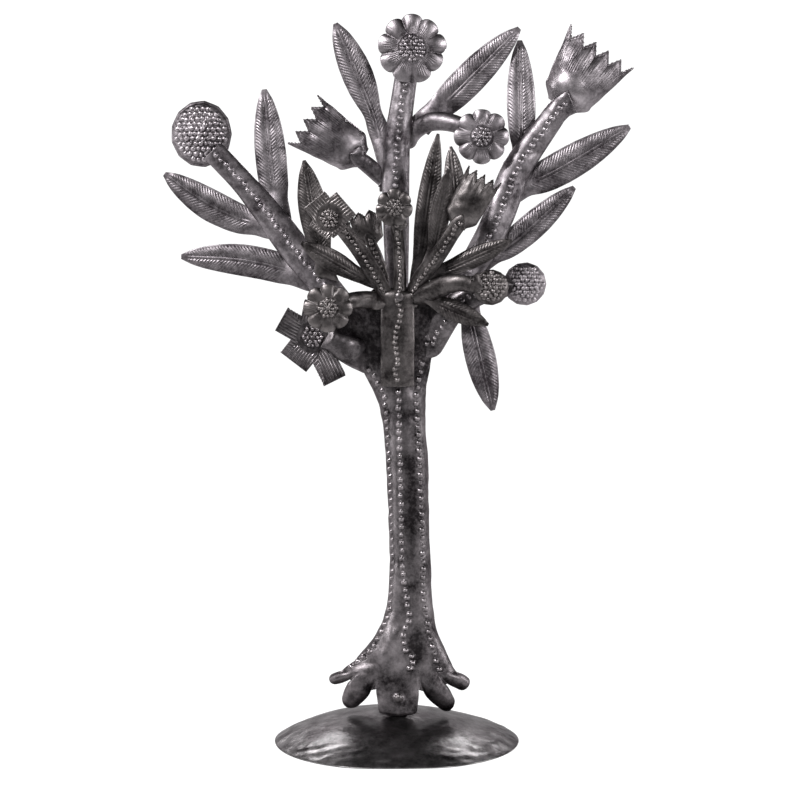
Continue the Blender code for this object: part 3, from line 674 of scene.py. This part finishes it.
# ---------------- tulips
def build_tulip(name, teeth, stem, spread):
    """A cup that opens from its stem to a saw-toothed mouth, fluted above the belly."""
    strip = Strip(name, foot=Strip(stem).line[-1])
    length = strip.length / 1.10
    foot, body, mouth = (np.interp(share * length, strip.along, strip.half)
                         for share in (0.03, 0.40, 0.86))
    body = body * spread
    mouth = body + (mouth * spread - body) * 1.15
    crown = strip.crown.max() * 1.2
    cell = CELL if length > 25 * MM else CELL * 0.85
    rows = int(1.1 * length / cell)
    columns = int(2.5 * mouth / cell) // 2 * 2 + 1
    u = np.linspace(-1, 1, columns)[None, :]
    share = np.linspace(0, 1, rows)[:, None]
    across, forward = arc_section(u, TULIP_TURN)
    seen = (across + 1) / 2
    edge = (0.999 * seen + 0.0005) * (teeth - 1) + 0.5
    saw = np.abs(edge % 1.0 - 0.5) * 2
    tooth = 0.085 * (1 - 2 * saw)
    reach = share * (1 + tooth * share ** 3)
    shoulder = smooth_step(share / 0.20) ** 0.8
    half = mix(mix(foot, body * 0.96, shoulder), mouth, np.clip((share - 0.25) / 0.75, 0, 1))
    swell = 0.30 + 0.70 * np.sin(math.pi * np.clip(0.10 + 0.95 * share, 0, 1)) ** 0.8
    rise = crown * swell * forward
    place = strip.line[0] + unit(strip.line[-1] - strip.line[0]) * (reach * length)[..., None]
    axes = sheet_axes(unit(strip.line[-1:] - strip.line[:1]))
    points = place + axes[0] * (half * across)[..., None] + axes[1] * rise[..., None]

    relief = hammer_marks(points, len(name) + 11, 1.7)
    flutes = teeth * 5.5
    phase = mix(seen, (u + 1) / 2, 0.5) * flutes + 0.30 * noise(points, 7 * MM, 9)
    cut = groove(phase, 0.20)
    start = 0.46 + 0.05 * np.sin(9 * u + len(name))
    relief -= 0.24 * MM * cut * smooth_step((share - start) / 0.10)
    belly = np.exp(-((share - 0.28) / 0.14) ** 2) * (1 - np.abs(u) ** 2.5)
    relief += 0.06 * body * belly
    add_sheet(name, "_chiselled", points, relief, relief / MM)


# ---------------- round and square heads
def polar_sheet(name, suffix, outline, centre, height, relief_at):
    """Sheet inside an outline (points in x and z, clockwise to the viewer) about a centre."""
    columns = len(outline)
    reach = np.linalg.norm(outline, axis=1).max()
    rings = max(int(reach / CELL), 10)
    shares = np.linspace(0, 1, rings + 1)[1:]
    flat = outline[None, :, :] * shares[:, None, None]
    forward = height(flat, shares[:, None])
    points = np.stack([centre[0] + flat[..., 0], centre[1] - forward,
                       centre[2] + flat[..., 1]], axis=-1)
    relief = relief_at(points, flat, shares[:, None])
    raised = raise_grid(points, relief, wrap=True)
    middle = raised[0].mean(axis=0)
    vertices = np.concatenate([raised.reshape(-1, 3), [middle]])
    patina_and_painted_light = np.append(relief / MM, relief[0].mean() / MM)
    faces = grid_faces(rings, columns, wrap=True)
    hub = rings * columns
    faces += [(hub, (column + 1) % columns, column) for column in range(columns)]
    mesh = make_mesh(name + "_steel", vertices, faces, patina_and_painted_light)
    add_piece(name + suffix, mesh, name)


def add_beads(relief, points, flat, offsets, radius, height):
    """Raises dots on the surface under a list of x and z offsets."""
    gaps = [np.linalg.norm(flat - offset, axis=-1) for offset in offsets]
    spots = [points[np.unravel_index(np.argmin(gap), gap.shape)] for gap in gaps]
    add_dots(relief, points, spots, radius, height)


def build_ball(name):
    low, high = node_box(name)
    centre = (low + high) / 2
    centre[1] = high[1] - SHEET * 0.8
    radius = (high[0] - low[0]) / 2
    crown = high[1] - low[1] - SHEET
    facets = 13                     # the rim was cut with straight snips
    angles = -np.linspace(0, 2 * math.pi, int(2 * math.pi * radius / CELL), endpoint=False)
    step = 2 * math.pi / facets
    chisel = math.cos(step / 2) / np.cos((angles % step) - step / 2)
    edge = radius * mix(1.0, chisel, 0.8) * 0.995
    tall = 1.09 if name == "left_ball" else 1.0
    outline = np.stack([edge * np.cos(angles), tall * edge * np.sin(angles)], axis=1)

    def height(flat, share):
        return crown * (1 - share ** 2.6) * np.ones(flat.shape[:2])

    def relief_at(points, flat, share):
        relief = hammer_marks(points, 21, 0.5)
        relief -= 0.3 * MM * np.exp(-((share - 0.93) / 0.02) ** 2)
        pitch = 3.0 * MM if radius > 15 * MM else 2.5 * MM
        offsets = packed_dots(radius * 0.86, pitch) * [1, tall]
        add_beads(relief, points, flat, offsets, pitch * 0.50, pitch * 0.36)
        return relief

    polar_sheet(name, "_beaded", outline, centre, height, relief_at)


def build_daisy(name, petals):
    low, high = node_box(name)
    centre = (low + high) / 2
    radius = (high[0] - low[0]) / 2
    centre[1] = high[1] - SHEET
    count = int(2 * math.pi * radius / CELL)
    angles = math.pi / 2 - np.linspace(0, 2 * math.pi, count, endpoint=False)
    turn = petals * (angles - math.pi / 2) / 2
    rng = np.random.default_rng(petals)
    uneven = np.interp(angles % (2 * math.pi), np.linspace(0, 2 * math.pi, petals + 1),
                       np.append(rng.uniform(-0.02, 0.02, petals), 0.0))
    edge = radius * (0.87 + 0.12 * np.abs(np.cos(turn)) ** 0.45 + 1.6 * uneven)
    outline = np.stack([edge * np.cos(angles), edge * np.sin(angles)], axis=1)
    core = (0.36 if radius > 12 * MM else 0.42) * radius

    def height(flat, share):
        r = np.linalg.norm(flat, axis=-1)
        boss = 0.10 * radius * np.cos(np.clip(r / (0.5 * radius), 0, 1) * math.pi / 2) ** 2
        return boss + 0.17 * radius * (1 - share ** 2.4)

    def relief_at(points, flat, share):
        relief = hammer_marks(points, 31, 0.6)
        r = np.linalg.norm(flat, axis=-1)
        outer = smooth_step((r - core * 1.05) / (0.12 * radius))
        rim = smooth_step((share - 0.45) / 0.45)
        crease = np.abs(np.sin(turn))[None, :] ** 10
        relief -= 0.40 * MM * crease * outer * rim
        relief += 0.045 * radius * np.abs(np.cos(turn))[None, :] ** 0.8 * outer * rim
        ribs = turn[None, :] / math.pi * 8 + 0.3 * noise(points, 4 * MM, 33)
        rib = groove(ribs, 0.24)
        inner = 1 - smooth_step((share - 0.55 - 0.25 * noise(points, 5 * MM, 34)) / 0.3)
        relief -= 0.24 * MM * rib * outer * inner
        relief -= 0.30 * MM * np.exp(-((r - core * 1.08) / (0.5 * MM)) ** 2)
        pitch = 2.4 * MM if radius > 13 * MM else 2.1 * MM
        add_beads(relief, points, flat, packed_dots(core, pitch), pitch * 0.48, pitch * 0.36)
        return relief

    polar_sheet(name, "_chiselled", outline, centre, height, relief_at)


def build_square_flower(name):
    """Straight-sided petals that meet in sharp notches round a beaded core."""
    petals = SQUARE_FLOWERS[name]
    low, high = node_box(name)
    corners, axes, owners = [], [], []
    for index, (angle, reach, width) in enumerate(petals):
        next_angle, _, next_width = petals[(index + 1) % len(petals)]
        turn = math.radians(angle)
        between = math.radians((next_angle - angle) % 360)
        along = np.array([math.cos(turn), math.sin(turn)])
        sideways = np.array([-along[1], along[0]]) * width / 2 * MM
        notch = (next_width + width * math.cos(between)) / 2 / math.sin(between) * MM
        corners += [along * reach * MM - sideways, along * reach * MM + sideways,
                    along * notch + sideways]
        axes.append(along)
        owners += [index, index, index]
    corners = np.array(corners)[::-1]
    owners = owners[::-1]
    span = corners.max(axis=0) + corners.min(axis=0)
    middle = ((low + high)[[0, 2]] - span) / 2
    outline, petal = [], []
    for index in range(len(corners)):
        a, b = corners[index], corners[(index + 1) % len(corners)]
        steps = max(int(np.linalg.norm(b - a) / CELL), 2)
        owner = owners[(index + 1) % len(corners)]
        outline += [mix(a, b, share) for share in np.arange(steps) / steps]
        petal += [owner] * steps
    outline = np.array(outline)
    petal = np.array(petal)
    axis = np.array(axes)[petal]
    side_axis = np.stack([-axis[:, 1], axis[:, 0]], axis=1)
    reach = np.linalg.norm(outline, axis=1).max()
    core = 5.6 * MM if reach > 20 * MM else 4.4 * MM
    centre = np.array([middle[0], low[1], middle[1]])

    def height(flat, share):
        r = np.linalg.norm(flat, axis=-1)
        return 1.2 * MM * np.cos(np.clip(r / (1.5 * core), 0, 1) * math.pi / 2) ** 2

    def relief_at(points, flat, share):
        relief = hammer_marks(points, 41, 0.8)
        r = np.linalg.norm(flat, axis=-1)
        outer = smooth_step((r - core * 1.5) / (2 * MM))
        ring = np.exp(-((r - core * 1.12) / (0.5 * MM)) ** 2)
        sideways = (flat * side_axis[None]).sum(axis=-1)
        along = (flat * axis[None]).sum(axis=-1)
        phase = (sideways + 0.45 * MM * noise(points, 6 * MM, 3)) / (1.7 * MM)
        line = groove(phase, 0.36 / 1.7)
        relief -= 0.30 * MM * line * outer * smooth_step((1 - share) / 0.08)
        relief -= 0.25 * MM * ring
        relief += 0.45 * MM * np.sin(along / (6 * MM)) * outer
        pitch = 2.6 * MM if reach > 20 * MM else 2.3 * MM
        add_beads(relief, points, flat, packed_dots(core, pitch), pitch * 0.48, pitch * 0.38)
        return relief

    polar_sheet(name, "_chiselled", outline, centre, height, relief_at)


# ---------------- plate
def row_spots(points, row, pitch):
    """Surface points at every pitch along a row of dots given as x and z in millimetres."""
    row = np.array(row) * MM
    along = lengths_along(row)
    spots = []
    for index, place in enumerate(np.arange(0, along[-1], pitch)):
        x = np.interp(place, along, row[:, 0]) + 0.2 * MM * math.sin(2.3 * index)
        z = np.interp(place, along, row[:, 1])
        gap = np.hypot(points[..., 0] - x, points[..., 2] - z) + (points[..., 1] > 0)
        spots.append(points[np.unravel_index(np.argmin(gap), gap.shape)])
    return spots


def build_plate():
    low, high = node_box("bouquet_plate")
    foot = np.array([(low[0] + high[0]) / 2, 0, low[2]])
    strip = Strip("bouquet_plate", foot=foot)
    points = strip_grid(strip, PLATE_TURN, CELL)[0]
    relief = hammer_marks(points, 51, 0.8)
    add_dots(relief, points, row_spots(points, PLATE_DOTS, 3.1 * MM), 1.25 * MM, 0.95 * MM)
    add_sheet("bouquet_plate", "_hammered", points, relief, relief / MM)


# ---------------- trunk and roots
def trunk_edges():
    """Heights with the left edge, right edge and front of the CAD trunk at each."""
    points, edges = node_arrays("trunk")
    heights = np.arange(ROOT_CROTCH + 1.5 * MM, 0.2165, 3 * MM)
    rows = []
    for height in heights:
        ring = crossings(points, edges, points[:, 2], height)
        rows.append((height, ring[:, 0].min(), ring[:, 0].max(), ring[:, 1].min()))
    rows = [(z * MM, left * MM, right * MM, rows[0][3]) for z, left, right in TRUNK_FLARE] + rows
    for height, left, right in TRUNK_FAN:
        rows.append((height * MM, left * MM, right * MM, rows[-1][3]))
    return np.array(rows)


def trunk_section(table, u, z):
    """Points of the rolled sheet at shares u of its width and heights z."""
    left = np.interp(z, table[:, 0], table[:, 1])
    right = np.interp(z, table[:, 0], table[:, 2])
    front = -np.interp(z, table[:, 0], table[:, 3])
    turn = mix(math.radians(80), math.radians(110), smooth_step((z - 45 * MM) / (40 * MM)))
    turn = mix(turn, math.radians(60), smooth_step((z - 178 * MM) / (36 * MM)))
    angle = u * turn
    reach = np.sin(np.minimum(turn, math.pi / 2))
    x = (left + right) / 2 + (right - left) / 2 * np.sin(angle) / reach
    y = -front * np.cos(angle)
    return np.stack([x, y, z * np.ones_like(x)], axis=-1)


def trunk_top(u):
    """Height of the upper edge: a tongue for the bouquet's plate between two lower lobes."""
    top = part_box("trunk")[1][2]
    lobe = np.where(u < 0, 254 * MM, 256 * MM) - 9 * MM * smooth_step((np.abs(u) - 0.5) / 0.5)
    tongue = 1 - smooth_step((np.abs(u) - 0.17) / 0.17)
    return mix(lobe, top - 0.5 * MM, tongue)


def root_points(root, s, t):
    """Points of a root at shares s across it and t from its tip to its start."""
    start, bend, tip = (np.array(place) * MM for place in root[:3])
    widths = np.array(root[3]) * MM
    f = (1 - t)[..., None]
    centre = start * (1 - f) ** 2 + 2 * bend * f * (1 - f) + tip * f * f
    across, front = sheet_axes(unit(2 * (1 - f) * (start - bend) + 2 * f * (bend - tip)))
    f = f[..., 0]
    half = np.interp(f, (0, 0.5, 1), widths) / 2
    flat = widths[2] > 14 * MM      # only the foot tab is this wide at its tip
    rounding = np.clip((f - 0.82) / 0.18, 0, 1)
    half = half * (1 - 0.97 * rounding ** (4 if flat else 3)) ** 0.5
    crown = (2.0 if flat else 4.2) * MM * (half / (widths[1] / 2))
    side, forward = arc_section(s, FOOT_TURN if flat else ROOT_TURN)
    return centre + across * (half * side)[..., None] + front * (crown * forward)[..., None]


def build_trunk():
    """One sheet: the roots and foot tab below the crotch, the rolled trunk and flare above."""
    table = trunk_edges()
    columns = 92
    upper_rows = int((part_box("trunk")[1][2] - ROOT_CROTCH) / TRUNK_CELL)
    lower_rows = int(40 * MM / TRUNK_CELL)
    gap = 2
    u = np.interp(np.linspace(0, 1, columns), (0, *ROOT_COLUMNS, 1), (-1, *ROOT_BOUNDS, 1))
    u = smooth_rows(u, 12)
    bounds = [int(round(share * (columns - 1))) for share in ROOT_COLUMNS]
    firsts = [0] + [bound + gap // 2 for bound in bounds]
    lasts = [bound - gap // 2 for bound in bounds] + [columns - 1]

    share = np.linspace(0, 1, upper_rows)[:, None]
    z = ROOT_CROTCH + share * (trunk_top(u)[None, :] - ROOT_CROTCH)
    upper = trunk_section(table, u[None, :], z)

    t = np.linspace(0, 1, lower_rows, endpoint=False)[:, None]
    lower = np.zeros((lower_rows, columns, 3))
    for root, first, last in zip(ROOTS, firsts, lasts):
        s = np.linspace(-1, 1, last - first + 1)[None, :]
        lower[:, first:last + 1] = root_points(root, s, t * np.ones_like(s))
    for last, first in zip(lasts[:-1], firsts[1:]):
        for column in range(last + 1, first):
            blend = (column - last) / (first - last)
            lower[:, column] = mix(lower[:, last], lower[:, first], blend)
    tips = np.interp(np.arange(columns), [(first + last) / 2 for first, last in
                                          zip(firsts, lasts)], [root[2][2] for root in ROOTS])
    skirt_z = ROOT_CROTCH - (1 - t) * (ROOT_CROTCH - tips[None, :] * MM) * 0.75
    skirt = trunk_section(table, u[None, :], skirt_z)
    lower = mix(lower, skirt, smooth_step((t - 0.22) / 0.78)[..., None])
    points = np.concatenate([lower, upper])

    relief = hammer_marks(points, 61, 1.5)
    x, z = points[..., 0] / MM, points[..., 2] / MM
    for at_x, at_z, wide, tall, rise in TRUNK_SWELLS:
        relief += rise * MM * np.exp(-((x - at_x) / wide) ** 2 - ((z - at_z) / tall) ** 2)
    for row in TRUNK_DOTS:
        add_dots(relief, points, row_spots(points, row, TRUNK_DOT_PITCH), 1.5 * MM, 1.3 * MM)
    low, high = node_box("foot_rivet")
    boss = row_spots(points, [(low + high)[[0, 2]] / 2 / MM, high[[0, 2]] / MM], 50 * MM)
    add_dots(relief, points, boss, 3.0 * MM, 0.45 * MM)
    # Painted shade: the trunk is darkened from 203 mm up, behind and under the bouquet plate.
    patina_and_painted_light = relief / MM - 0.7 * smooth_step((z - 203) / 14)

    def keep(row, column):
        for cut, last, first in zip(NOTCHES, lasts[:-1], firsts[1:]):
            if last <= column < first and row < cut * lower_rows:
                return False
        return True

    mesh = make_mesh("trunk_steel", raise_grid(points, relief),
                     grid_faces(*points.shape[:2], keep=keep), patina_and_painted_light)
    clean = bmesh.new()
    clean.from_mesh(mesh)
    loose = [vertex for vertex in clean.verts if not vertex.link_faces]
    bmesh.ops.delete(clean, geom=loose, context="VERTS")
    clean.to_mesh(mesh)
    clean.free()
    add_piece("trunk_hammered", mesh, "trunk")


# ---------------- base
def build_base():
    """The beaten dome, its rim waved and its front edge knocked straight."""
    low, high = node_box("base_dome")
    radius = (high[0] - low[0]) / 2
    rim = 0.5 * MM
    count = 420
    shares = np.linspace(0.012, 1.0, 84)
    heights = rim + (high[2] - rim) * (1 - shares ** 2.4)
    shares = np.append(shares, 0.998)
    heights = np.append(heights, 0.1 * MM)
    angles = np.linspace(0, 2 * math.pi, count, endpoint=False)
    wave = 0.9985 + 0.003 * np.sin(3 * angles + 1) + 0.0015 * np.sin(7 * angles)
    straight = (66.4 * MM - 1.5 * MM * np.cos(angles)) / np.maximum(-np.sin(angles), 0.01)
    edge = ((radius * wave) ** -30.0 + straight ** -30.0) ** (-1 / 30)
    edge = mix(radius, edge[None, :], smooth_step(shares[:, None] * 1.3))
    r = shares[:, None] * edge
    hub = 1.9 * MM * np.exp(-(r / (17 * MM)) ** 4)
    points = np.stack([r * np.cos(angles), r * np.sin(angles), heights[:, None] + hub], axis=-1)
    outer = smooth_step((shares[:, None] - 0.70) / 0.20)
    lean = smooth_step((points[..., 2] - 1.0 * MM) / (9 * MM))
    points[..., 2] *= 1 - 0.10 * points[..., 0] / radius * lean
    settle = smooth_step((heights[:, None] - 0.2 * MM) / (2.5 * MM))
    stretched = points * [0.55, 1.0, 1.6]
    relief = (0.34 * noise(points, 14 * MM, 71) + 0.30 * noise(stretched, 4.2 * MM, 72)
              - 0.35 * np.clip(noise(stretched, 6 * MM, 73), 0, 1)) * MM
    relief = relief * (0.09 + 1.05 * outer) * settle
    raised = raise_grid(points, relief, wrap=True)
    vertices = np.concatenate([raised.reshape(-1, 3), [raised[0].mean(axis=0)]])
    scraped = 0.9 * outer * np.clip(noise(stretched, 5 * MM, 74) + 0.1, 0, 1)
    patina_and_painted_light = np.append(relief / MM + scraped, 0.0)
    faces = [face[::-1] for face in grid_faces(len(shares), count, wrap=True)]
    middle = len(shares) * count
    faces += [(middle, column, (column + 1) % count) for column in range(count)]
    mesh = make_mesh("base_dome_steel", vertices, faces, patina_and_painted_light)
    add_piece("base_dome_hammered", mesh, "base_dome")


for stem in STEMS:
    STEM_STRIPS[stem] = read_stem(stem)
for stem in STEMS:
    build_stem(stem)
for leaf in NECKS:
    build_leaf(leaf)
for tulip, (teeth, stem, spread) in TULIPS.items():
    build_tulip(tulip, teeth, stem, spread)
for daisy, petals in DAISY_PETALS.items():
    build_daisy(daisy, petals)
for ball in BALLS:
    build_ball(ball)
for flower in SQUARE_FLOWERS:
    build_square_flower(flower)
build_plate()
build_trunk()
build_base()

for name, node in frame["nodes"].items():
    if not node.hide_render:
        node.data.materials.clear()
        node.data.materials.append(STEEL[SLOTS[name]])


# ---------------- stage, light, camera
def build_stage():
    """Round pale floor that sweeps up into a wall; it glows less behind the viewer."""
    floor, bend, top = 2.2, 0.4, 1.9     # radii of the floor and the bend, height of the wall
    count = 72
    under = 0.4 * MM                     # the floor lies this far below the dome's rim
    profile = [(radius, 0.0) for radius in np.linspace(0.02, floor, 24)]
    for angle in np.linspace(0, math.pi / 2, 9)[1:]:
        profile.append((floor + bend * math.sin(angle), bend * (1 - math.cos(angle))))
    profile.append((floor + bend, top))
    radius, height = np.array(profile).T[..., None]
    angles = np.linspace(0, 2 * math.pi, count, endpoint=False)
    points = np.stack([radius * np.cos(angles), radius * np.sin(angles),
                       height - under + 0 * angles], axis=-1)
    vertices = np.concatenate([points.reshape(-1, 3), [[0, 0, -under]]])
    faces = grid_faces(len(profile), count, wrap=True)
    middle = len(vertices) - 1
    faces += [(middle, (column + 1) % count, column) for column in range(count)]
    mesh = bpy.data.meshes.new("backdrop")
    mesh.from_pydata(vertices.tolist(), [], faces)
    glow = mesh.attributes.new("glow", "FLOAT", "POINT")
    amount = mix(0.09, 1.0, smooth_step((vertices[:, 1] + 0.70) / 0.50))
    glow.data.foreach_set("value", amount.astype(np.float32))
    mesh.shade_smooth()
    backdrop = new_object("backdrop", mesh)
    paper = bpy.data.materials.new("paper")
    paper.use_nodes = True
    shader = paper.node_tree.nodes["Principled BSDF"]
    shader.inputs["Base Color"].default_value = (0.12, 0.12, 0.12, 1)
    shader.inputs["Specular IOR Level"].default_value = 0.0
    shader.inputs["Roughness"].default_value = 0.9
    shader.inputs["Emission Color"].default_value = (1, 1, 1, 1)
    source = paper.node_tree.nodes.new("ShaderNodeAttribute")
    source.attribute_name = "glow"
    paper.node_tree.links.new(source.outputs["Fac"], shader.inputs["Emission Strength"])
    mesh.materials.append(paper)


def add_light(name, place, target, size, power):
    light = bpy.data.lights.new(name, "AREA")
    light.shape = "RECTANGLE"
    light.size, light.size_y = size
    light.energy = power
    lamp = new_object(name, light)
    lamp.location = place
    direction = np.array(target) - np.array(place)
    lamp.rotation_euler = Vector(direction).to_track_quat("-Z", "Y").to_euler()


TREE = (0, 0, 0.22)
DOME = (0, 0, 0.05)
build_stage()
add_light("key_softbox", (-0.80, -0.95, 1.15), TREE, (0.34, 0.34), 27)
add_light("fill_softbox", (0.95, -1.10, 0.65), TREE, (0.40, 0.40), 9)
# the windows show as the soft patches on the dome's shoulders
add_light("left_window", (-0.48, 1.17, 0.99), DOME, (0.34, 0.26), 9)
add_light("right_window", (0.46, 1.17, 1.00), DOME, (0.24, 0.20), 5)
add_light("left_strip", (-1.30, -0.10, 0.50), TREE, (0.20, 0.8), 6)
add_light("right_strip", (1.30, -0.10, 0.50), TREE, (0.20, 0.8), 6)

world = bpy.data.worlds.new("studio")
world.use_nodes = True
sky = world.node_tree.nodes["Background"]
sky.inputs["Color"].default_value = (0.9, 0.9, 0.92, 1)
sky.inputs["Strength"].default_value = 0.05
bpy.context.scene.world = world
bpy.context.scene.view_settings.view_transform = "Standard"

camera_data = bpy.data.cameras.new("camera")
camera_data.lens = 104.7
camera_data.sensor_width = 36.0
camera_data.clip_start = 0.05
camera = new_object("camera", camera_data)
camera.location = (0.0, -1.300, 0.315)
camera.rotation_euler = (math.radians(90 - 5.14), 0, 0)
bpy.context.scene.camera = camera
